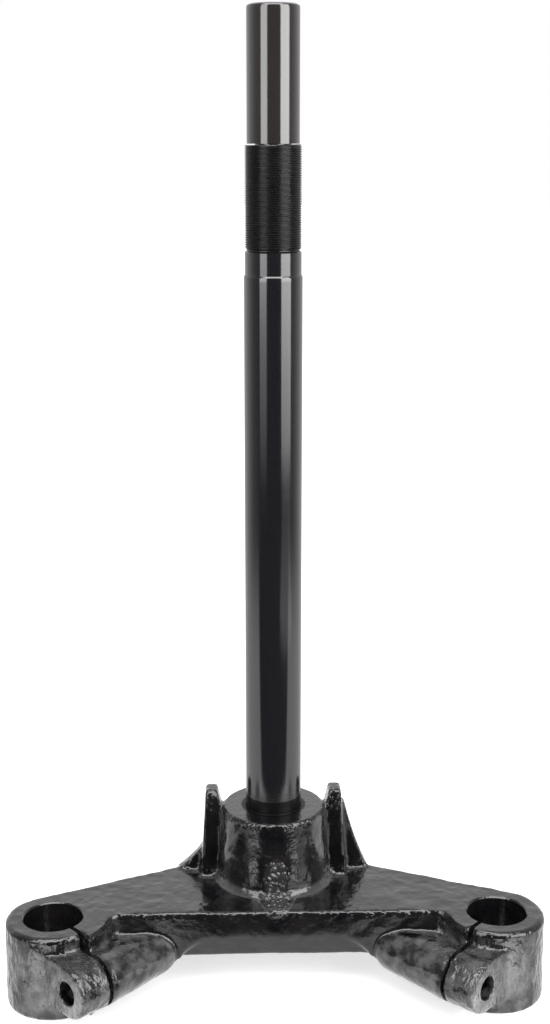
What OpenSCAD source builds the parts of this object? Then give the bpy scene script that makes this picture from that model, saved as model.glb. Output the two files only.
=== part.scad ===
// Lower fork crown of a small motorcycle: one black casting with a neck, two upright
// ears and two split fork clamps, and the long steering stem that is pressed into it.
// Millimetres. +Z runs up the stem, +X is the right-hand fork leg and -Y is the front.
// The origin is on the stem axis, in the plane of the lower bearing seat.

/* [Steering stem] */
// Diameter of the shaft between the two head bearings
stem_d = 26; // [25.4:0.1:26.4]
// Diameter of the press fit in the neck
press_d = 26.6; // [26.5:0.1:28]
// Outside diameter of the thread and of the short journal under it
thread_d = 25; // [24:0.5:25.5]
// Diameter of the plain top end that the upper yoke grips
top_d = 23; // [20:0.5:23.5]
// Diameter of the hole along the stem
stem_bore_d = 16; // [10:0.5:17]
// Height of the shoulder above the bearing seat
shoulder_z = 251; // [150:1:300]
// Length from the shoulder to the upper end of the thread
thread_zone = 55.5; // [40:0.5:70]
// Length that is threaded, at the upper end of that zone
thread_len = 44.5; // [25:0.5:52]
// Length of the plain top end
top_len = 57.5; // [30:0.5:80]

/* [Neck] */
// Height of the bearing seat above the top of the crown
neck_h = 36; // [28:1:44]
// Diameter of the bearing seat
seat_d = 48.2; // [44:0.2:52]
// Diameter of the neck just above its root
neck_root_d = 52.4; // [46:0.2:54]
// Radius of the fillet round the root of the neck
root_fillet = 2.2; // [1.4:0.2:4]

/* [Crown] */
// Distance between the two fork legs
fork_spacing = 203; // [190:1:220]
// Distance from the steering axis forward to the fork legs
fork_offset = 40.5; // [38:0.5:46]
// Distance from the steering axis forward to the front wall
front_wall = 39.5; // [36:0.5:42]
// Thickness of the crown in the middle
crown_t = 22.5; // [18:0.5:26]
// Radius of the back of the crown round the neck
back_r = 28; // [26:0.5:30]
// Radius on the upper edge of the crown
edge_r = 1.8; // [1:0.2:3]
// Half the length of the flat middle of the underside
flat_half = 43; // [36:1:50]
// Distance from the middle at which the underside reaches the clamps
arch_half = 84; // [80:1:88]
// Depth from the top of the crown to the parting line on its front wall
parting_drop = 12; // [9:0.5:15]
// Angle by which the front wall falls back below the parting line
front_draft = 14; // [8:1:20]

/* [Fork clamps] */
// Diameter of the bores for the fork legs
fork_d = 27; // [25:0.5:30]
// Outside diameter of a clamp at its top
clamp_d = 43; // [40:0.5:46]
// Outside diameter of a clamp at its bottom
clamp_foot_d = 44; // [41:0.5:47]
// Height of a clamp
clamp_h = 40; // [36:1:48]
// Outside radius of the inner half of the left clamp, beside the saw cut
finger_r_left = 25.5; // [22:0.5:26]
// Outside radius of the inner half of the right clamp, beside the saw cut
finger_r_right = 22.5; // [22:0.5:26]
// Width of the saw cut that lets a clamp close
slit_w = 2.2; // [1.5:0.1:3]
// Angle of the saw cut, from the line between the legs towards the front
slit_angle = 48; // [40:1:60]

/* [Pinch lugs] */
// Distance from a fork bore to its pinch bolt, along the saw cut
bolt_reach = 31; // [28:0.5:34]
// Depth of the pinch bolt below the top of the crown
bolt_drop = 19.5; // [16:0.5:23]
// Radius of the round end of a lug
lug_r = 12; // [10:0.5:13]
// Distance from the saw cut to the outer face of the outer lug
lug_out = 16; // [13:0.5:19]
// Diameter of the bolt hole in the outer lug
bolt_clear_d = 11; // [9:0.5:12]
// Diameter of the tapped hole in the inner lug, at the tops of its thread
bolt_tap_d = 8.5; // [6.5:0.5:9]
// Depth of the tapped hole from the saw cut
tap_depth = 26; // [18:1:30]

/* [Ears] */
// Distance from the stem axis to the inner side of an ear, at the seat
ear_in = 25.4; // [24.6:0.2:27]
// Width of an ear at its foot
ear_w = 7.2; // [6:0.2:9]
// Height of the ears above the bearing seat
ear_top = 7; // [3:0.5:12]
// Depth of an ear from front to back, at its top
ear_depth = 12; // [9:0.5:15]
// Distance from the stem axis to the foot of a gusset
gusset_foot = 46; // [42:0.5:50]
// Thickness of a gusset
gusset_t = 6; // [4:0.5:8]
// Height of the left gusset above the crown
gusset_h_left = 12; // [8:1:30]
// Height of the right gusset above the crown
gusset_h_right = 34; // [20:1:38]

/* [Hidden] */
fine = 96;
coarse = 32;
crown_top = -neck_h;
crown_base = crown_top - crown_t;
clamp_base = crown_top - clamp_h;
stem_top = shoulder_z + thread_zone + top_len;
leg_x = fork_spacing / 2;
bore_chamfer = 0.6;
// How far the flat flanks of a lug stand back from its round end
flank = 0.3;
arc_steps = 6;
// The one casting is handed over in four solids that meet face to face at these planes,
// because a neck, a middle and two arms are each simple enough for collision.
arm_plane = 38;
neck_plane = 6 - neck_h;
cast_black = "#1d1d20";
turned_steel = "#4a4a4d";

// Points of a round corner of radius r about c, from angle a0 to angle a1
function arc(c, r, a0, a1) =
    [for (i = [0 : arc_steps]) c + r * [cos(a0 + (a1 - a0) * i / arc_steps),
                                        sin(a0 + (a1 - a0) * i / arc_steps)]];

// The turned steel tube. Half its section is drawn once and spun about the axis.
module steering_stem() {
    shaft_r = stem_d / 2;
    thread_r = thread_d / 2;
    top_r = top_d / 2;
    groove_r = thread_r - 0.9;
    groove_w = 1.6;
    thread_top = shoulder_z + thread_zone;
    thread_foot = thread_top - thread_len;
    lead = 1;
    press_r = press_d / 2;
    press_top = -0.4;
    shaft_foot = 0.1;
    color(turned_steel) rotate_extrude($fn = fine) polygon([
        [stem_bore_d / 2, crown_base], [press_r - lead, crown_base], [press_r, crown_base + lead],
        [press_r, press_top], [shaft_r, shaft_foot],
        [shaft_r, shoulder_z - lead], [thread_r, shoulder_z],
        [thread_r, thread_foot - groove_w], [groove_r, thread_foot - groove_w / 2 - 0.3],
        [groove_r, thread_foot - groove_w / 2 + 0.3], [thread_r, thread_foot],
        [thread_r, thread_top - lead], [top_r, thread_top],
        [top_r, stem_top - 1.2], [top_r - 1.5, stem_top], [stem_bore_d / 2, stem_top]
    ]);
}

// The neck, with its flat bearing seat, slight taper and filleted root
module neck() {
    seat_r = seat_d / 2;
    root_r = neck_root_d / 2;
    break_edge = 0.8;
    rotate_extrude($fn = fine) polygon(concat(
        [[0, crown_top - 2], [root_r + root_fillet, crown_top - 2]],
        arc([root_r + root_fillet, crown_top + root_fillet], root_fillet, 270, 180),
        [[seat_r, -break_edge], [seat_r - break_edge, 0], [0, 0]]
    ));
}

// A disc with a round upper edge, used at each corner of the crown's plan
module edge_disc(r, h) {
    rotate_extrude($fn = coarse) polygon(concat(
        [[0, -h], [r, -h]], arc([r - edge_r, -edge_r], edge_r, 0, 90), [[0, 0]]
    ));
}

// The outline that a clamp keeps when the front of the crown is cut back:
// round outside the saw cut, and a wider finger between the cut and the crown
module clamp_keep(finger_r) {
    circle(d = clamp_d, $fn = fine);
    intersection() {
        circle(r = finger_r, $fn = fine);
        rotate(slit_angle + 180) translate([0, -2 * finger_r]) square(2 * finger_r);
    }
}

// The material in front of the crown's straight front wall, between the clamps.
// A fillet joins the wall to each clamp's finger.
module front_cut() {
    fillet = 7;
    // The fillet runs into the finger by this much, so that the two arcs cross
    bite = 0.04;
    drop = fillet + front_wall - fork_offset;
    difference() {
        translate([-leg_x, -front_wall - 60]) square([2 * leg_x, 60]);
        for (side = [-1, 1]) translate([side * leg_x, -fork_offset]) mirror([side < 0 ? 1 : 0, 0]) {
            finger_r = side < 0 ? finger_r_left : finger_r_right;
            span = finger_r + fillet - bite;
            run = sqrt(span * span - drop * drop);
            reach = 0.97 * finger_r / span;
            clamp_keep(finger_r);
            difference() {
                polygon([[-run, fork_offset - front_wall], [-run, -drop], reach * [-run, -drop],
                         [-finger_r * 0.9, fork_offset - front_wall]]);
                translate([-run, -drop]) circle(r = fillet, $fn = fine);
            }
        }
    }
}

// The crown seen from the front: level on top, and arched between the clamps
module elevation() {
    far = leg_x + clamp_d;
    bend = 14;
    slope = atan2(crown_base - clamp_base, arch_half - flat_half);
    soft = bend * tan(slope / 2);
    right_arch = arc([flat_half - soft, crown_base - bend], bend, 90, 90 - slope);
    left_arch = [for (i = [arc_steps : -1 : 0]) [-right_arch[i][0], right_arch[i][1]]];
    polygon(concat(
        [[-far, crown_top + 1], [-far, clamp_base], [-arch_half, clamp_base]], left_arch,
        right_arch, [[arch_half, clamp_base], [far, clamp_base], [far, crown_top + 1]]
    ));
}

// The foot of the front wall, which falls back below the parting line. The line runs
// level in the middle and bends down to the underside at both ends.
module front_relief() {
    corner = 20;
    inner = flat_half + 3 - corner;
    parting = crown_top - parting_drop;
    intersection() {
        rotate([90, 0, 0]) linear_extrude(height = front_wall + 10) intersection() {
            translate([-2 * flat_half, crown_base - 1]) square([4 * flat_half, crown_t]);
            union() {
                translate([-inner, parting - corner]) square([2 * inner, corner]);
                for (side = [-1, 1]) translate([side * inner, parting - corner])
                    circle(r = corner, $fn = fine);
            }
        }
        translate([0, -front_wall, parting]) rotate([front_draft, 0, 0])
            translate([-2 * flat_half, -20, -2 * crown_t]) cube([4 * flat_half, 20, 3 * crown_t]);
    }
}

// The plate of the crown, which reaches from the neck to both clamps
module plate() {
    difference() {
        intersection() {
            hull() {
                translate([0, 0, crown_top]) edge_disc(back_r, clamp_h);
                for (side = [-1, 1]) translate([side * leg_x, -fork_offset, crown_top])
                    edge_disc(clamp_d / 2, clamp_h);
            }
            rotate([90, 0, 0]) linear_extrude(height = 300, center = true) elevation();
        }
        translate([0, 0, clamp_base - 1]) linear_extrude(height = clamp_h + 2) front_cut();
        front_relief();
    }
}

// The round body of a clamp, about its own axis, with draft and soft rims
module clamp_body() {
    rim = 1.8;
    top_r = clamp_d / 2;
    foot_r = clamp_foot_d / 2;
    rotate_extrude($fn = fine) polygon(concat(
        [[0, -clamp_h]], arc([foot_r - rim, rim - clamp_h], rim, 270, 360),
        arc([top_r - rim, -rim], rim, 0, 90), [[0, 0]]
    ));
}

// The lug on the outer side of the saw cut: a round-ended boss with a flat face.
// In this frame +X runs along the saw cut and +Y along the bolt, outwards.
module outer_lug() {
    soft = 1.6;
    root = fork_d / 2 + 1;
    translate([bolt_reach, 0, -bolt_drop]) rotate([-90, 0, 0]) rotate_extrude($fn = fine)
        polygon(concat([[0, 0], [lug_r, 0]],
                       arc([lug_r - soft, lug_out - soft], soft, 0, 90), [[0, lug_out]]));
    translate([root, 0, flank - bolt_drop - lug_r])
        cube([bolt_reach - root, lug_out - flank, 2 * (lug_r - flank)]);
}

// The lug on the inner side. Behind its round end it widens into a long boss, which
// runs into the front wall with a round nose towards the middle of the crown.
module inner_lug() {
    root = fork_d / 2 + 1;
    lip = 4;
    nose_r = 10.5;
    nose = [28, -36, -bolt_drop - 1];
    heel = [21, -22, -bolt_drop - 0.5];
    translate([bolt_reach, 0, -bolt_drop]) rotate([90, 0, 0]) cylinder(r = lug_r, h = lip, $fn = fine);
    translate([root, -lip, flank - bolt_drop - lug_r]) cube([bolt_reach - root, lip, 2 * (lug_r - flank)]);
    hull() {
        translate([bolt_reach, 0.5 - lip, -bolt_drop]) rotate([90, 0, 0])
            cylinder(r = lug_r - 0.1, h = 1, $fn = coarse);
        translate(nose) sphere(r = nose_r, $fn = coarse);
        translate(heel) sphere(r = nose_r - 1, $fn = coarse);
    }
}

// The hole of a fork leg, the saw cut and the two bolt holes of one clamp
module clamp_holes() {
    over = 1;
    cut_len = bolt_reach + lug_r + 6;
    translate([0, 0, -clamp_h - over]) cylinder(d = fork_d, h = clamp_h + 2 * over, $fn = fine);
    for (end = [0, 1]) translate([0, 0, -end * clamp_h]) mirror([0, 0, end])
        translate([0, 0, -bore_chamfer])
            cylinder(d1 = fork_d, d2 = fork_d + 4 * bore_chamfer, h = 2 * bore_chamfer, $fn = fine);
    translate([0, -slit_w / 2, -clamp_h - over]) cube([cut_len, slit_w, clamp_h + 2 * over]);
    translate([bolt_reach, 0, -bolt_drop]) {
        rotate([-90, 0, 0]) cylinder(d = bolt_clear_d, h = lug_out + over, $fn = fine);
        rotate([90, 0, 0]) cylinder(d = bolt_tap_d, h = tap_depth, $fn = fine);
    }
}

// Puts a right-hand clamp's parts on one side, with +X along the saw cut
module at_clamp(side) {
    mirror([side < 0 ? 1 : 0, 0, 0]) translate([leg_x, -fork_offset, crown_top])
        rotate(180 + slit_angle) children();
}

// One ear, drawn on the right: a tapering post, the web that ties it to the neck
// and the gusset that stands behind its outer side
module ear(gusset_h) {
    foot = ear_in + 2.8;
    out_top = ear_in + ear_w - 0.2;
    out_foot = foot + ear_w - 0.6;
    corner = 2;
    front = -1.2;
    web_front = 3;
    web_t = 7;
    web_drop = 3.5;
    gusset_y = 5;
    hollow_r = 4.4 * gusset_h;
    intersection() {
        translate([0, 30, 0]) rotate([90, 0, 0]) linear_extrude(height = 40) polygon(concat(
            [[foot, crown_top - 1], [out_foot, crown_top - 1]],
            arc([out_top - corner, ear_top - corner], corner, 0, 90),
            arc([ear_in + 0.8 + corner, ear_top - corner], corner, 90, 180),
            [[ear_in - 0.6, -2], [ear_in + 0.2, -14]]
        ));
        rotate([90, 0, 90]) linear_extrude(height = 60) polygon(concat(
            [[front - 1, crown_top - 1], [ear_depth + 5, crown_top - 1], [ear_depth + 1, -6]],
            arc([ear_depth + front - 3, ear_top - 3], 3, 0, 90),
            arc([front + 3.5, ear_top - 3], 3, 90, 180)
        ));
    }
    translate([seat_d / 2 - 4, web_front, crown_top - 1])
        cube([foot - seat_d / 2 + 6, web_t, neck_h + 1 - web_drop]);
    translate([0, gusset_y + gusset_t, 0]) rotate([90, 0, 0]) linear_extrude(height = gusset_t)
        gusset(out_foot - 2, gusset_h, hollow_r);
}

// A gusset in the plane of the ears, with a hollow outer edge from its head
// against the ear to its foot on the crown
module gusset(x0, h, hollow_r) {
    head = [x0 + 1.6, crown_top + h];
    toe = [gusset_foot, crown_top];
    half = norm(toe - head) / 2;
    side = [toe[1] - head[1], head[0] - toe[0]] / (2 * half);
    centre = (head + toe) / 2 - side * sqrt(hollow_r * hollow_r - half * half);
    difference() {
        polygon([[x0 - 1, crown_top - 1], [x0 - 1, head[1]], head, toe, [gusset_foot, crown_top - 1]]);
        translate(centre) circle(r = hollow_r, $fn = 4 * fine);
    }
}

// The casting, then the machined holes
module fork_crown() {
    difference() {
        union() {
            plate();
            neck();
            mirror([1, 0, 0]) ear(gusset_h_left);
            ear(gusset_h_right);
            for (side = [-1, 1]) at_clamp(side) {
                clamp_body();
                outer_lug();
                inner_lug();
            }
        }
        translate([0, 0, clamp_base - 1]) cylinder(d = press_d, h = clamp_h + neck_h + 2, $fn = fine);
        for (side = [-1, 1]) at_clamp(side) clamp_holes();
    }
}

// The share of the casting between two corners
module share(low, high) {
    color(cast_black) intersection() {
        fork_crown();
        translate(low) cube(high - low);
    }
}

share([-60, -60, neck_plane], [60, 60, 40]);  // crown_neck
share([-arm_plane, -90, clamp_base - 5], [arm_plane, 60, neck_plane]);  // crown_middle
share([-leg_x - 60, -120, clamp_base - 5], [-arm_plane, 60, neck_plane]);  // crown_arm_left
share([arm_plane, -120, clamp_base - 5], [leg_x + 60, 60, neck_plane]);  // crown_arm_right
steering_stem();
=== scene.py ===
import math

import bmesh
import bpy
import numpy as np
from mathutils import Euler, Matrix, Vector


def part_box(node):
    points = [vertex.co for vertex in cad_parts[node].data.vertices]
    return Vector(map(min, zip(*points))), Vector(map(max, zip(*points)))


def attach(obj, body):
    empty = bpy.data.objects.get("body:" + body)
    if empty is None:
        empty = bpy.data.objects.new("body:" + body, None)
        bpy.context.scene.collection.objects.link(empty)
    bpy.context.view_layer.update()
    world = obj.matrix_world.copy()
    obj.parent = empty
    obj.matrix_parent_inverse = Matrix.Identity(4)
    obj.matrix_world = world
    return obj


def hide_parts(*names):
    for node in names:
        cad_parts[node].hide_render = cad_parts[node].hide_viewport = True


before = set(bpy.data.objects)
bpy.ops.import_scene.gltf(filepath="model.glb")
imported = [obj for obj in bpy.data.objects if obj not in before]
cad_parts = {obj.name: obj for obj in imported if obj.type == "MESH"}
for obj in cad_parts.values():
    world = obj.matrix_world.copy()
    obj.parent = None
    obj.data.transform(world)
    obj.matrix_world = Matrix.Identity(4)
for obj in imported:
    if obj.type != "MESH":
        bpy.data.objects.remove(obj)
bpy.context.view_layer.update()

scene = bpy.context.scene
scene.view_settings.view_transform = "Standard"

# The camera stands a little left of the stem, 0.7 m in front of it and 0.31 m above the
# bearing seat. It looks down by 13.6 degrees and a little to the right.
look_down, look_right = 13.64, 1.53
camera = bpy.data.objects.new("camera", bpy.data.cameras.new("camera"))
scene.collection.objects.link(camera)
scene.camera = camera
camera.data.sensor_width = 36.0
camera.data.lens = 55.03
camera.data.clip_start = 0.05
camera.location = (-0.01773, -0.69260, 0.31130)
camera.rotation_euler = Euler((math.radians(90 - look_down), 0, -math.radians(look_right)))


# Studio room: white for the camera. In reflections its walls are dark on the camera's side
# and get brighter towards the far side, and to everything else it gives an even fill.
def feed(tree, node, inputs):
    """Feeds inputs of the node, by name or number: from a socket, from a node that has one
    output, or with a plain value."""
    for place, source in inputs.items():
        if isinstance(source, bpy.types.Node):
            source = source.outputs[0]
        if isinstance(source, bpy.types.NodeSocket):
            tree.links.new(source, node.inputs[place])
        else:
            node.inputs[place].default_value = source


def add(tree, kind, inputs, **options):
    """A new node with those inputs. The options are the node's own settings."""
    node = tree.nodes.new("ShaderNode" + kind)
    for option, value in options.items():
        setattr(node, option, value)
    feed(tree, node, inputs)
    return node


def stretched(tree, source, low, high, least=0.0, most=1.0, **options):
    """The source with low to high mapped to least to most, and held outside of them."""
    return add(tree, "MapRange", {"Value": source, "From Min": low, "From Max": high,
                                  "To Min": least, "To Max": most}, **options).outputs["Result"]


def graded(tree, source, stops):
    """The colour at the source's place on a ramp. The stops are (place, colour or grey),
    and their places rise from 0 to 1."""
    ramp = add(tree, "ValToRGB", {"Fac": source})
    elements = ramp.color_ramp.elements
    for i, (place, colour) in enumerate(stops):
        stop = elements[i] if i < 2 else elements.new(place)
        stop.position, stop.color = place, (*np.broadcast_to(colour, 3), 1)
    return ramp.outputs["Color"]


def either(tree, share, first, second):
    """A mix of two shaders: all first where the share is 0, all second where it is 1."""
    return add(tree, "MixShader", {0: share, 1: first, 2: second})


def blended(tree, share, first, second):
    """A mix of two colours: all first where the share is 0, all second where it is 1."""
    return add(tree, "Mix", {"Factor": share, "A": first, "B": second},
               data_type="RGBA").outputs["Result"]


# greys of the walls in a reflection, from the camera's side (0) to the far side (1)
walls = [(0.19, 0.03), (0.30, 0.15), (0.46, 0.25), (0.85, 0.93), (0.93, 0.88), (1.0, 0.86)]
fill_light = 0.45
white = (1.0, 1.0, 1.0, 1.0)

world = bpy.data.worlds.new("studio")
scene.world = world
world.use_nodes = True
room = world.node_tree
room.nodes.clear()
facing = add(room, "SeparateXYZ", {0: add(room, "TexCoord", {}).outputs["Generated"]})
wall_grey = graded(room, stretched(room, facing.outputs["Y"], -1.0, 1.0), walls)
ray = add(room, "LightPath", {}).outputs
unseen = either(room, ray["Is Glossy Ray"],
                add(room, "Background", {"Color": white, "Strength": fill_light}),
                add(room, "Background", {"Color": white, "Strength": wall_grey}))
add(room, "OutputWorld", {0: either(
    room, ray["Is Camera Ray"], unseen,
    add(room, "Background", {"Color": white, "Strength": 1.0}))})


# Paper floor: it ends at the undersides of the clamps. It catches the soft shadow, and it
# is clear from below, so that the crown can be looked at from there.
floor_z, floor_radius, floor_sides = -0.076, 8.0, 96


def add_finish(mesh, name):
    """The node tree of a new material, which becomes the last one of the mesh."""
    finish = bpy.data.materials.new(name)
    finish.use_nodes = True
    mesh.materials.append(finish)
    return finish.node_tree


def worked(tree, operation, *terms):
    """The result of a Math node on those terms, which are sockets or numbers."""
    return add(tree, "Math", dict(enumerate(terms)), operation=operation).outputs[0]


def length_of(tree, vector):
    """The length of a vector."""
    return add(tree, "VectorMath", {0: vector}, operation="LENGTH").outputs["Value"]


turn = np.linspace(0, 2 * np.pi, floor_sides, endpoint=False)
disc = np.stack([floor_radius * np.cos(turn), floor_radius * np.sin(turn),
                 np.full(floor_sides, floor_z)], -1)
floor_mesh = bpy.data.meshes.new("floor")
floor_mesh.from_pydata(disc.tolist(), [], [tuple(range(floor_sides))])
floor = bpy.data.objects.new("floor", floor_mesh)
scene.collection.objects.link(floor)

paper = add_finish(floor_mesh, "white_paper")
paper.nodes.clear()
on_floor = add(paper, "TexCoord", {}).outputs["Object"]
floor_x, floor_y, _ = add(paper, "SeparateXYZ", {0: on_floor}).outputs
from_stem = length_of(paper, on_floor)
matt = add(paper, "BsdfDiffuse", {"Color": (0.80, 0.80, 0.80, 1)})
# for the camera the paper gets whiter with its distance from the stem
glow = add(paper, "Emission", {"Strength": stretched(paper, from_stem, 0.15, 0.9, 0.60, 1.0)})
seen = add(paper, "AddShader", {0: matt, 1: glow})
# in reflections it is dark in front of the clamps and white behind them, and from about
# half a metre on it takes the greys of the walls
slanted = worked(paper, "MULTIPLY_ADD", worked(paper, "ABSOLUTE", floor_x), 0.4, floor_y)
near_grey = stretched(paper, slanted, -0.098, -0.050, 0.03, interpolation_type="SMOOTHSTEP")
far_grey = graded(
    paper, stretched(paper, worked(paper, "DIVIDE", floor_y, from_stem), -1.0, 1.0), walls)
how_far = stretched(paper, from_stem, 0.45, 0.85, interpolation_type="SMOOTHSTEP")
mirrored = add(paper, "Emission", {"Color": blended(paper, how_far, near_grey, far_grey)})
ray = add(paper, "LightPath", {}).outputs
from_above = either(paper, ray["Is Glossy Ray"],
                    either(paper, ray["Is Camera Ray"], matt, seen), mirrored)
add(paper, "OutputMaterial", {0: either(
    paper, add(paper, "NewGeometry", {}).outputs["Backfacing"], from_above,
    add(paper, "BsdfTransparent", {}))})


# Lamps: soft sheets of light that the camera doesn't see. Two tall softboxes make the two
# streaks on the stem, one overhead lights the round edges, and low spots stand for the
# light that comes back from the table.
def noise(tree, place, scale, detail=2.0, roughness=0.5):
    """Smooth noise between 0 and 1, of that scale on the place that feeds it."""
    return add(tree, "TexNoise", {"Vector": place, "Scale": scale, "Detail": detail,
                                  "Roughness": roughness}).outputs["Fac"]


def area_lamp(name, size, radiance, fade, cloudy=False):
    """A lamp of size (width, height) in metres with a power of radiance * pi * area. The
    stops (place, share) of fade scale its radiance. On a plain lamp the place goes from 0
    at the lower edge to 1 at the upper one. On a cloudy lamp it goes from 0 in the middle
    to 1 at the rim, and noise makes its radiance uneven."""
    lamp = bpy.data.lights.new(name, "AREA")
    lamp.shape = "RECTANGLE"
    lamp.size, lamp.size_y = size
    lamp.energy = radiance * math.pi * size[0] * size[1]
    lamp.use_nodes = True
    tree = lamp.node_tree
    emission = tree.nodes["Emission"]
    on_sheet = add(tree, "NewGeometry", {}).outputs["Parametric"]
    if cloudy:
        from_middle = add(tree, "VectorMath", {0: on_sheet, 1: (0.5, 0.5, 0)},
                          operation="DISTANCE").outputs["Value"]
        place = worked(tree, "MULTIPLY", from_middle, 2.0)
        clouds = stretched(tree, noise(tree, on_sheet, 6.0), 0.35, 0.65, 0.35, 1.4)
        feed(tree, emission, {"Strength": clouds})
    else:
        place = add(tree, "SeparateXYZ", {0: on_sheet}).outputs["Y"]
    feed(tree, emission, {"Color": graded(tree, place, fade)})
    lit = bpy.data.objects.new(name, lamp)
    scene.collection.objects.link(lit)
    lit.visible_camera = False
    return lit


# the softboxes stand on a circle round the stem and get dimmer downwards
box_height, box_distance, box_foot = 1.3, 1.1, -0.07
right_fade = [(0.0, 0.28), (0.09, 0.43), (0.21, 0.80), (0.31, 1.0)]
left_fade = [(0.0, 0.06), (0.13, 0.29), (0.19, 0.74), (0.31, 1.0)]
for name, azimuth, width, radiance, fade in (
        ("right_softbox", 50.5, 0.81, 5.4, right_fade),
        ("left_softbox", -41.5, 0.56, 3.9, left_fade)):
    softbox = area_lamp(name, (width, box_height), radiance, fade)
    a = math.radians(azimuth)
    softbox.location = (box_distance * math.sin(a), -box_distance * math.cos(a),
                        box_foot + box_height / 2)
    softbox.rotation_euler = Euler((math.radians(90), 0, a))

overhead = area_lamp("top_softbox", (1.2, 0.9), 5.0, [(0.0, 1.0), (1.0, 1.0)])
overhead.location = (0, -0.55, 1.15)

# cloudy spots on the table in front of the clamps and beside the front wall, and a plain
# sheet further out on the right, all just above the floor and facing up
spot_fade = [(0.0, 1.0), (0.45, 0.9), (1.0, 0.0)]
sheet_fade = [(0.0, 1.0), (0.3, 0.65), (1.0, 0.0)]
for name, azimuth, (x, y), size, radiance, fade, cloudy in (
        ("table_light", 0, (0.120, -0.110), (0.13, 0.105), 3.1, spot_fade, True),
        ("table_light", 0, (-0.120, -0.110), (0.13, 0.105), 2.4, spot_fade, True),
        ("inner_light", 0, (0.074, -0.096), (0.07, 0.06), 1.8, spot_fade, True),
        ("inner_light", 0, (-0.074, -0.096), (0.07, 0.06), 1.8, spot_fade, True),
        ("bounce_light", 51, (0.606, -0.491), (0.50, 0.60), 0.65, sheet_fade, False)):
    low_light = area_lamp(name, size, radiance, fade, cloudy)
    low_light.rotation_euler = Euler((math.radians(180), 0, math.radians(azimuth)))
    low_light.location = (x, y, floor_z + 0.0005)


# Fork crown: one sand casting, thick with gloss enamel. The outside keeps the soft edges
# and lumps of the mould. The bores, the saw cuts and the bolt holes are machined, so they
# are cut here after the cast surface is made, as in the workshop.
stem_bore, seat_z, crown_base = 0.0133, 0.0, -0.0585
leg_x, leg_y, fork_r = 0.1015, -0.0405, 0.0135
plate_top, clamp_base, front_y = -0.036, -0.076, -0.0395
cut_angle, cut_width, cut_length = math.radians(180 + 48), 0.0022, 0.052
bolt_z, bolt_reach, bolt_r, lug_out = -0.0555, 0.031, 0.0055, 0.016
tap_r, tap_depth = 0.00425, 0.026
shares = ["crown_neck", "crown_middle", "crown_arm_left", "crown_arm_right"]


def placed_solid(name, xyz, faces, placed):
    """An object whose points are multiplied by the matrix, with its faces outwards even
    where the matrix mirrors it."""
    m = np.array(placed)
    mesh = bpy.data.meshes.new(name)
    mesh.from_pydata((xyz @ m[:3, :3].T + m[:3, 3]).tolist(), [], faces)
    if np.linalg.det(m[:3, :3]) < 0:
        mesh.flip_normals()
    return bpy.data.objects.new(name, mesh)


def turned(profile, placed, around=96):
    """A closed solid of revolution: the point (r, z) of the profile goes to
    (r cos t, r sin t, z) for t from 0 to 2 pi, and the 4x4 matrix then places it."""
    profile = np.asarray(profile, float)
    t = np.linspace(0, 2 * np.pi, around, endpoint=False)
    xyz = np.stack([profile[:, :1] * np.cos(t), profile[:, :1] * np.sin(t),
                    np.repeat(profile[:, 1:], around, 1)], -1).reshape(-1, 3)
    k, j = np.meshgrid(np.arange(len(profile) - 1), np.arange(around), indexing="ij")
    a, b = k * around + j, k * around + (j + 1) % around
    quads = np.stack([a, b, b + around, a + around], -1).reshape(-1, 4)
    last = (len(profile) - 1) * around
    caps = [list(range(around))[::-1], list(range(last, last + around))]
    return placed_solid("turned", xyz, quads.tolist() + caps, placed)


def slab(low, high, placed):
    """A box from corner low to corner high, placed by the 4x4 matrix. Each corner takes
    its x, y and z from low or high by the three bits of its number."""
    bits = (np.arange(8)[:, None] >> np.array([0, 1, 2])) & 1
    faces = [(0, 2, 3, 1), (4, 5, 7, 6), (0, 1, 5, 4), (2, 6, 7, 3), (0, 4, 6, 2), (1, 3, 7, 5)]
    return placed_solid("slab", np.where(bits, high, low), faces, placed)


def at_clamp(side):
    """Puts x along the saw cut and y outwards along the bolt, on that side's clamp."""
    right = Matrix.Translation((leg_x, leg_y, 0)) @ Matrix.Rotation(cut_angle, 4, "Z")
    return Matrix.Diagonal((side, 1, 1, 1)) @ right


def along_bolt(side):
    """Puts z outwards along the pinch bolt of that side's clamp."""
    return (at_clamp(side) @ Matrix.Translation((bolt_reach, 0, bolt_z))
            @ Matrix.Rotation(math.radians(-90), 4, "X"))


# Plugs fill the bores, cuts and holes of the solids, so that the mould's skin closes over
# them, and cutters open them again. A plug ends a hair below the faces around it.
hair, half_plug = 1e-5, 0.0016
neck_plug_r, fork_plug_r, bolt_plug_r = 0.0145, 0.0152, 0.0062
wall_start, wall_out, bulge_out, bulge_edge = 0.0120, 0.0196, 0.0212, 0.0018
lug_start, lug_half, lug_end_r = 0.0140, 0.0117, 0.0119
chamfer, flare, bolt_chamfer, bolt_flare = 0.0006, 0.0030, 0.0004, 0.0012
level = Matrix.Identity(4)
plugs = [turned([(neck_plug_r, crown_base + hair), (neck_plug_r, seat_z - hair)], level)]
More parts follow.
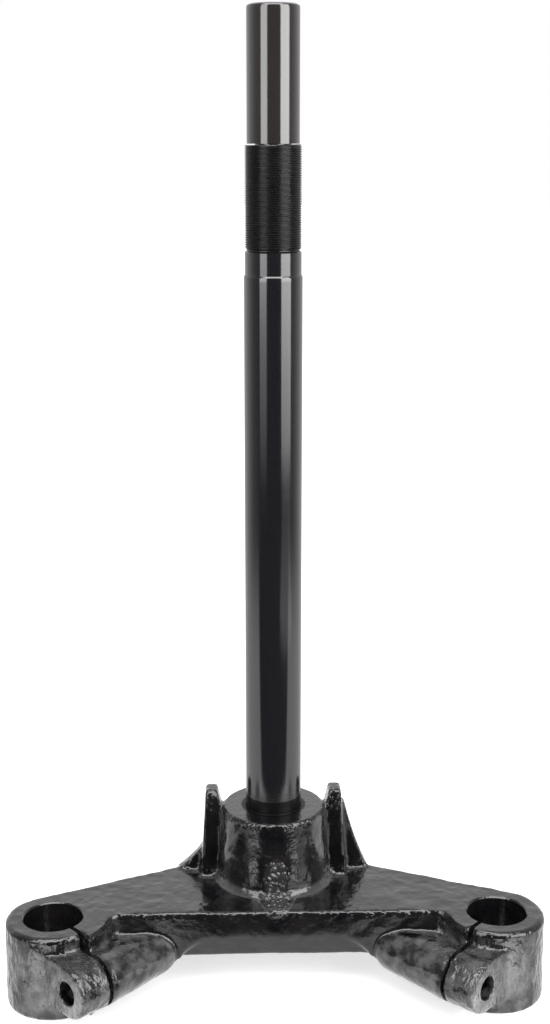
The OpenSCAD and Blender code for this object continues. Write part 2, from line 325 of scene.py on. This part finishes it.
# the soft collar of metal and paint at the foot of the neck
plugs.append(turned([(0.0293, -0.0372), (0.0293, -0.0358), (0.0281, -0.0352),
                     (0.0270, -0.0341), (0.0262, -0.0325), (0.0258, -0.0305)], level))
cutters = [turned([(stem_bore, -0.09), (stem_bore, 0.02)], level)]
for side in (-1, 1):
    clamp, bolt = at_clamp(side), along_bolt(side)
    plugs += [
        # the fork bore, then the cut in the clamp's wall, in its bulge and in the lugs
        turned([(fork_plug_r, clamp_base + hair), (fork_plug_r, plate_top - hair)], clamp),
        slab((wall_start, -half_plug, clamp_base + hair),
             (wall_out, half_plug, plate_top - hair), clamp),
        slab((wall_start, -half_plug, clamp_base + bulge_edge),
             (bulge_out, half_plug, plate_top - bulge_edge), clamp),
        slab((lug_start, -half_plug, bolt_z - lug_half),
             (bolt_reach, half_plug, bolt_z + lug_half), clamp),
        # the cut in the lugs' round ends, and the bolt hole
        turned([(lug_end_r, -half_plug), (lug_end_r, half_plug)], bolt),
        turned([(bolt_plug_r, -0.027), (bolt_plug_r, lug_out - hair)], bolt)]
    cutters += [
        # the fork bore with a chamfer at each end, the saw cut, the bolt's clearance hole
        # with its chamfer, and the tapped hole
        turned([(fork_r + flare, clamp_base + chamfer - flare), (fork_r, clamp_base + chamfer),
                (fork_r, plate_top - chamfer), (fork_r + flare, plate_top - chamfer + flare)],
               clamp, 128),
        slab((0.0, -cut_width / 2, clamp_base - 0.002),
             (cut_length, cut_width / 2, plate_top + 0.002), clamp),
        turned([(bolt_r, 0.0), (bolt_r, lug_out - bolt_chamfer),
                (bolt_r + bolt_flare, lug_out - bolt_chamfer + bolt_flare)], bolt, 64),
        turned([(tap_r, -tap_depth), (tap_r, 0.0003)], bolt, 48)]


def modified(body):
    """A new mesh of body with its modifiers applied, which are then taken off."""
    bpy.context.view_layer.update()
    mesh = bpy.data.meshes.new_from_object(
        body.evaluated_get(bpy.context.evaluated_depsgraph_get()))
    body.modifiers.clear()
    return mesh


def joined(body, others, operation):
    """The mesh of body after one boolean with each of the others, which are used up."""
    for other in others:
        step = body.modifiers.new("join", "BOOLEAN")
        step.operation = operation
        step.solver = "MANIFOLD"
        step.object = other
    mesh = modified(body)
    for other in others:
        bpy.data.objects.remove(other)
    return mesh


# The four CAD shares are copied, merged and joined to the one casting that they are.
solids = []
for name in shares:
    solid = bpy.data.objects.new(name + "_copy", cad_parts[name].data.copy())
    scene.collection.objects.link(solid)
    raw = bmesh.new()
    raw.from_mesh(solid.data)
    bmesh.ops.remove_doubles(raw, verts=raw.verts, dist=2e-6)
    raw.to_mesh(solid.data)
    raw.free()
    solids.append(solid)
cast = bpy.data.objects.new("crown_casting", solids[0].data)
scene.collection.objects.link(cast)
cast.data = joined(cast, solids[1:], "UNION")
bpy.data.objects.remove(solids[0])

# The mould's skin: one fine mesh over the casting and its plugs
raw = bmesh.new()
for part in [cast] + plugs:
    raw.from_mesh(part.data)
raw.to_mesh(cast.data)
raw.free()
for part in plugs:
    bpy.data.objects.remove(part)
remesh = cast.modifiers.new("skin", "REMESH")
remesh.mode = "VOXEL"
remesh.voxel_size = 0.0009
fine_mesh = modified(cast)
cast.data = fine_mesh


def rows_of(items, attribute, width, kind=np.float32):
    """That attribute of a mesh's items as an array with one row for each item."""
    flat = np.empty(len(items) * width, kind)
    items.foreach_get(attribute, flat)
    return flat.reshape(-1, width)


def move_points(co):
    """Moves the points of the fine mesh to co."""
    fine_mesh.vertices.foreach_set("co", co.astype(np.float32).ravel())
    fine_mesh.update()


co = rows_of(fine_mesh.vertices, "co", 3).astype(float)
pair = rows_of(fine_mesh.edges, "vertices", 2, np.int32)
valence = np.bincount(pair.ravel(), minlength=len(co))[:, None]


def relaxed(p, times, rate, back=1.03):
    """Moves every point towards the mean of its neighbours by rate, then away from it by
    back * rate. With a back of 1.03 (Taubin's two steps) edges round off and the body
    doesn't shrink, and with 0 they melt further."""
    for _ in range(times):
        for step in (rate, -rate * back):
            total = np.zeros_like(p)
            np.add.at(total, pair[:, 0], p[pair[:, 1]])
            np.add.at(total, pair[:, 1], p[pair[:, 0]])
            p = p + step * (total / valence - p)
    return p


def mould_noise(p, size, seed):
    """Smooth random heights between -1 and 1: each corner of a grid of cells of that size
    has a fixed random height, and a point blends its eight corners by 3 f^2 - 2 f^3."""
    q = p / size + seed * 17.3
    cell = np.floor(q).astype(np.int64)
    f = q - cell
    f = f * f * (3 - 2 * f)
    total = np.zeros(len(p))
    for corner in range(8):
        bit = np.array([corner & 1, corner >> 1 & 1, corner >> 2 & 1])
        h = (cell + bit) @ np.array([73856093, 19349663, 83492791]) ^ (seed * 2654435761)
        h = (h ^ (h >> 13)) * 1274126177 & 0xFFFFFFFF
        total += np.prod(np.where(bit, f, 1 - f), 1) * ((h & 0xFFFF) / 32767.5 - 1)
    return total


co = relaxed(co, 6, 0.55)
# the front edge of the plate melts further, and so do the hollow corners where the front
# wall turns to a clamp
edge_r, edge_half, hollow_at, hollow_r = 0.0048, 0.066, (0.0765, -0.043, -0.046), 0.008
x, y, z = co.T
front_edge = np.clip(1 - np.hypot(y - front_y, z - plate_top) / edge_r, 0, 1)
front_edge *= np.abs(x) < edge_half
hollow = np.hypot(np.hypot(np.abs(x) - hollow_at[0], y - hollow_at[1]), z - hollow_at[2])
melt = np.maximum(np.sqrt(front_edge), np.clip(1.6 - hollow / hollow_r, 0, 1))
co = relaxed(co, 13, 0.5 * melt[:, None], 0)
move_points(co)
outwards = rows_of(fine_mesh.vertex_normals, "vector", 3).astype(float)

# Lumps of the mould: all over the casting, coarse and high on the patch in front of the
# neck where the mould broke out, and on the ridge that runs from there to the front edge
x, y, z = co.T
patch_x, patch_half, ridge_high, ears_x = 0.0008, 0.0066, 0.0009, 0.0245
height = sum(high * mould_noise(co, size, seed) for high, size, seed in (
    (0.00022, 0.011, 1), (0.00014, 0.0052, 2), (0.00012, 0.0026, 3)))
rough = 0.0004 * mould_noise(co, 0.0031, 4) + 0.0004 * mould_noise(co, 0.0017, 5)
patch = np.exp(-((x - patch_x) / patch_half) ** 4) * (y < -0.02)
patch *= np.clip((-0.012 - z) / 0.005, 0, 1) * (z > -0.035)
height += patch * rough
ridge_half = np.interp(y, [front_y, -0.0262], [0.0042, 0.0082])
ridge = np.clip(2 - 2 * np.abs(x - patch_x) / ridge_half, 0, 1)
ridge *= (y < -0.024) * np.clip((z + 0.0390) / 0.002, 0, 1) * (z < -0.033)
height += ridge * (ridge_high + rough)
# none on the bearing seat and the clamps' undersides, and low ones on the ears
keep = 1 - np.clip((z + 0.0025) / 0.0015, 0, 1) * (np.hypot(x, y) < 0.0236)
keep *= np.clip((z - clamp_base) / 0.003, 0, 1)
keep *= np.where((np.abs(x) > ears_x) & (z > plate_top + 0.002), 0.35, 1.0)
co = co + outwards * (height * keep)[:, None]
seat = (np.hypot(x, y) < 0.0233) & (np.abs(z) < 0.0008)
co[seat, 2] = seat_z
boxes = np.array([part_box(name) for name in shares])
move_points(np.clip(co, boxes[:, 0].min(0), boxes[:, 1].max(0)))

# The machining: one cutter after the other
for cutter in cutters:
    scene.collection.objects.link(cutter)
machined = joined(cast, cutters, "DIFFERENCE")
cast.data = machined
machined.name = "crown_casting"
machined.shade_smooth()
machined.set_sharp_from_angle(angle=math.radians(38))

# The enamel: a black coat over a rough casting. Lengths are in metres, and x2 is the
# square of the distance from the middle plane, which takes both sides at once.
machined.materials.clear()
enamel = add_finish(machined, "thick_black_enamel")
on_crown = add(enamel, "TexCoord", {}).outputs["Object"]
crown_x, crown_y, crown_z = add(enamel, "SeparateXYZ", {0: on_crown}).outputs
x2 = worked(enamel, "MULTIPLY", crown_x, crown_x)
radius = length_of(enamel, add(enamel, "VectorMath", {0: on_crown, 1: (1, 1, 0)},
                               operation="MULTIPLY").outputs[0])


def within(*limits, most=1.0):
    """The product of limits (source, low, high): each goes from 0 at low to 1 at high of
    its source, and the product is most where all are 1."""
    mask = stretched(enamel, *limits[0], most=most)
    for limit in limits[1:]:
        mask = worked(enamel, "MULTIPLY", mask, stretched(enamel, *limit))
    return mask


def greatest(*masks):
    """The greatest of the masks at each place."""
    top = masks[0]
    for mask in masks[1:]:
        top = worked(enamel, "MAXIMUM", top, mask)
    return top


# relief: sand grain under the coat, drawn out by the paint
sand = noise(enamel, on_crown, 620, 3, 0.6)
runs = noise(enamel, on_crown, 210)
fine_relief = worked(enamel, "MULTIPLY_ADD", runs, 1.6, sand)
# coarse grains, in places only
facing_front = (crown_y, -0.0374, -0.0388)
cells = add(enamel, "TexVoronoi", {"Vector": on_crown, "Scale": 410}).outputs["Distance"]
around_patch = add(enamel, "Mapping", {
    "Vector": on_crown, "Location": (patch_x, -0.032, -0.028),
    "Scale": (0.0090, 0.0130, 0.0170)}, vector_type="TEXTURE")
in_patch = add(enamel, "TexGradient", {"Vector": around_patch},
               gradient_type="SPHERICAL").outputs["Fac"]
grains = worked(enamel, "MULTIPLY", stretched(enamel, cells, 0.55, 0.05), greatest(
    # the broken patch
    within((in_patch, 0.05, 0.35), most=8.0),
    # the ears' heads
    within((crown_z, 0.0008, 0.0025), most=3.0),
    # the rim of the bearing seat
    within((radius, 0.0230, 0.0236), (crown_z, -0.0040, -0.0020), most=3.0),
    # the feet of the ears and their gussets
    within((x2, 0.0005, 0.0006), (x2, 0.0030, 0.0026), (crown_z, -0.0356, -0.0350),
           (crown_z, -0.0300, -0.0320), most=3.0),
    # the plate's front edge
    within((crown_z, -0.0395, -0.0380), facing_front, (x2, 0.0056, 0.0050), most=2.2)))
# runs and lumps of paint on the fronts of the clamps, longer than they are wide
drawn_down = add(enamel, "Mapping", {"Vector": on_crown, "Scale": (330, 330, 170)})
clamp_lumps = worked(
    enamel, "MULTIPLY", noise(enamel, drawn_down, 1.0),
    within((x2, 0.0042, 0.0062), facing_front, (crown_z, -0.0366, -0.0385), most=8.5))
relief = worked(enamel, "ADD", fine_relief, worked(enamel, "ADD", grains, clamp_lumps))
bumps = add(enamel, "Bump", {"Strength": 1.0, "Distance": 0.00013, "Height": relief})

# colour: brownish where the coat is thin on high lumps, bluish black in the hollows
cloud = noise(enamel, on_crown, 90, 4)
black = graded(enamel, cloud, [(0.35, (0.0025, 0.0025, 0.0035)), (0.7, (0.0080, 0.0070, 0.0066))])
# pale grey in places only: a painted highlight and painted reflection, and a paler broken patch
blotches = noise(enamel, on_crown, 150, 4)
off_ridge = worked(enamel, "ABSOLUTE", worked(enamel, "SUBTRACT", crown_x, patch_x))
past_ridge = worked(enamel, "SUBTRACT", off_ridge,
                    stretched(enamel, crown_y, front_y, -0.0240, 0.0, 0.0055))
painted_sheen_and_pale_patch = greatest(
    # the collar at the neck's foot: a painted highlight, a grey band of reflected light
    within((radius, 0.0263, 0.0268), (radius, 0.0292, 0.0287), (crown_z, -0.0380, -0.0370),
           (crown_z, -0.0320, -0.0328), most=0.45),
    # the broken patch
    within((in_patch, 0.10, 0.40), most=0.27),
    # pale blotches low on the fronts of the clamps and their long bosses: a painted reflection of
    # the bright table
    within((x2, 0.0010, 0.0022), (crown_y, -0.0402, -0.0418), (crown_z, -0.0385, -0.0470),
           (blotches, 0.43, 0.62)),
    # two lines, one on each side of the ridge: a painted highlight that runs on from the collar's
    within((crown_z, -0.0320, -0.0335), (past_ridge, 0.0034, 0.0040),
           (past_ridge, 0.0052, 0.0045), (crown_y, -0.0240, -0.0255),
           (crown_z, -0.0385, -0.0375), most=0.6))
# the base colour: the black, with the pale grey of the painted highlight and reflection and of
# the broken patch
enamel_colour_with_painted_sheen = blended(enamel, painted_sheen_and_pale_patch, black, (0.062, 0.061, 0.060, 1))
# no gloss in a ring round the stem's foot, so that it stays black there
glossy = greatest(within((radius, 0.0148, 0.0156)), within((crown_z, -0.0004, -0.0012)))
feed(enamel, enamel.nodes["Principled BSDF"], {
    "Base Color": enamel_colour_with_painted_sheen, "Roughness": stretched(enamel, cloud, 0.3, 0.75, 0.16, 0.34),
    "IOR": 1.6, "Specular IOR Level": 0.1, "Normal": bumps, "Coat Weight": glossy,
    "Coat Roughness": 0.06, "Coat IOR": 1.6, "Coat Normal": bumps})

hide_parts(*shares)
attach(cast, "root")


# Steering stem: a turned steel tube, blackened and oiled, pressed into the neck from
# below. It has a 26 mm shaft, a 25 mm journal, a relief groove, an M25 x 1 thread and a
# plain 23 mm end that is a little paler than the rest.
shaft_r, journal_r, end_r, groove_r, hole_r = 0.0130, 0.0125, 0.0115, 0.0116, 0.0080
tube_foot, shaft_top, thread_low, thread_high, tube_top = -0.0585, 0.2500, 0.2615, 0.3065, 0.3640
pitch, crest_r, root_r, pitch_rows, around = 0.001, 0.0125, 0.01189, 8, 96
# the dull black band at the foot of the shaft ends at this height
dull_foot_top = 0.0062
lower = np.array([
    (hole_r, tube_foot + 0.0010), (0.0085, tube_foot), (0.0123, tube_foot),
    (stem_bore, tube_foot + 0.0010), (stem_bore, -0.0004), (shaft_r, 0.0001),
    (shaft_r, 0.0015), (shaft_r, dull_foot_top), (shaft_r, shaft_top - 0.0020),
    (shaft_r, shaft_top - 0.0005), (0.0129, shaft_top), (journal_r, 0.2506),
    (journal_r, 0.2512), (journal_r, 0.2598), (journal_r, 0.2604), (0.0119, 0.2609),
    (groove_r, 0.2611), (groove_r, thread_low)])
upper = np.array([
    (end_r, thread_high), (end_r, thread_high + 0.001), (end_r, tube_top - 0.0025),
    (end_r, tube_top - 0.0012), (0.0112, tube_top - 0.0006), (0.0101, tube_top),
    (0.0085, tube_top), (hole_r, tube_top - 0.0005), (hole_r, tube_foot + 0.0010)])
t = np.linspace(0, 2 * np.pi, around, endpoint=False)


def thread_rows():
    """Radius and height of the helical rows. Row k has height (k / 8 + t / 2 pi) * pitch
    above the thread's foot at the angle t, and its radius steps through root, flank and
    crest eight times a turn. Heights are held between the thread's two ends."""
    k = np.arange(-pitch_rows, int((thread_high - thread_low) / pitch * pitch_rows) + 1)
    wave = np.array([0.0, 0.0, 0.35, 0.75, 1.0, 1.0, 0.75, 0.35])
    h = thread_low + (k[:, None] / pitch_rows + t / (2 * np.pi)) * pitch
    r = np.repeat((root_r + (crest_r - root_r) * wave[k % pitch_rows])[:, None], around, 1)
    h = np.clip(h, thread_low, thread_high)
    lead_in = np.minimum(groove_r + (h - thread_low) * 1.8, end_r + (thread_high - h) * 1.0)
    return np.minimum(r, lead_in), h


def turned_rows(r, h):
    """The points (r cos t, r sin t, h) of every row, for t all the way round."""
    h = np.broadcast_to(h, (len(h), around))
    return np.stack([r * np.cos(t), r * np.sin(t), h], -1).reshape(-1, 3)


def quad_sheet(first, rows, jump):
    """Quads of a grid of rows from vertex first on; where a row meets its own start it
    goes on jump rows higher, so a jump of 0 closes a ring and 8 follows the helix."""
    k, j = np.meshgrid(np.arange(rows - 1 - jump), np.arange(around), indexing="ij")
    wrap = j + 1 == around
    right = (k + jump * wrap) * around + (j + 1) % around
    a, b = first + k * around + j, first + right
    return np.stack([a, b, b + around, a + around], -1).reshape(-1, 4)


thread_r, thread_h = thread_rows()
xyz, quads, first = [], [], 0
for r, h, jump in ((lower[:, :1], lower[:, 1:], 0), (thread_r, thread_h, pitch_rows),
                   (upper[:, :1], upper[:, 1:], 0)):
    xyz.append(turned_rows(r, h))
    quads.append(quad_sheet(first, len(r), jump))
    first += len(r) * around
stem_mesh = bpy.data.meshes.new("steering_stem_turned")
stem_mesh.from_pydata(np.concatenate(xyz).tolist(), [], np.concatenate(quads).tolist())
stem = bpy.data.objects.new("steering_stem_turned", stem_mesh)
scene.collection.objects.link(stem)
raw = bmesh.new()
raw.from_mesh(stem_mesh)
bmesh.ops.remove_doubles(raw, verts=raw.verts, dist=1e-6)
bmesh.ops.dissolve_degenerate(raw, edges=raw.edges, dist=1e-7)
loose = [v for v in raw.verts if not v.link_faces]
bmesh.ops.delete(raw, geom=loose, context="VERTS")
bmesh.ops.recalc_face_normals(raw, faces=raw.faces)
raw.to_mesh(stem_mesh)
raw.free()
stem_mesh.shade_smooth()
stem_mesh.set_sharp_from_angle(angle=math.radians(30))

# oiled steel on the shaft, the journal and the end, with faint rings of the lathe and
# long soft stains of the blackening bath
steel = add_finish(stem_mesh, "blackened_turned_steel")
on_stem = add(steel, "TexCoord", {}).outputs["Object"]
stem_z = add(steel, "SeparateXYZ", {0: on_stem}).outputs["Z"]
shade_low, shade_high = -0.06, 0.37


def shade_at(height):
    """The place of a height in metres on the 0 to 1 scale of the shades."""
    return (height - shade_low) / (shade_high - shade_low)


dark, paler = (0.006, 0.0056, 0.007), (0.016, 0.0135, 0.013)
shade = graded(steel, stretched(steel, stem_z, shade_low, shade_high),
               [(shade_at(0.2900), dark), (shade_at(0.3066), paler), (1.0, paler)])
lathe = add(steel, "Mapping", {"Vector": on_stem, "Scale": (6, 6, 2600)})
rings = add(steel, "Bump", {"Strength": 0.12, "Distance": 0.0001,
                            "Height": noise(steel, lathe, 1.0, 3)})
stained = worked(steel, "MULTIPLY_ADD", noise(steel, on_stem, 55, 4), 0.12, 0.05)
duller_foot = stretched(steel, stem_z, 0.0150, 0.0060, 0.0, 0.22)
feed(steel, steel.nodes["Principled BSDF"], {
    "Base Color": shade, "Metallic": 0.0, "IOR": 1.9, "Normal": rings,
    "Roughness": worked(steel, "ADD", stained, duller_foot)})

# dull black steel in the thread
dull = add_finish(stem_mesh, "matt_black_steel")
on_thread = add(dull, "TexCoord", {}).outputs["Object"]
feed(dull, dull.nodes["Principled BSDF"], {
    "Base Color": (0.004, 0.004, 0.0045, 1), "IOR": 1.6,
    "Roughness": stretched(dull, noise(dull, on_thread, 140), 0.0, 1.0, 0.20, 0.36)})

# a dull black band round the foot of the shaft, which reflects little
dull_foot_band = add_finish(stem_mesh, "dull_black_foot_band")
feed(dull_foot_band, dull_foot_band.nodes["Principled BSDF"], {
    "Base Color": (0.004, 0.004, 0.0045, 1), "IOR": 1.3, "Roughness": 0.35})

heights = np.array([f.center[2] for f in stem_mesh.polygons])
in_thread = (heights > 0.2609) & (heights < thread_high + 0.0003)
at_foot = (heights > -0.0005) & (heights < dull_foot_top)
stem_mesh.polygons.foreach_set("material_index", (in_thread + 2 * at_foot).astype(np.int32))

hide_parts("steering_stem")
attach(stem, "root")
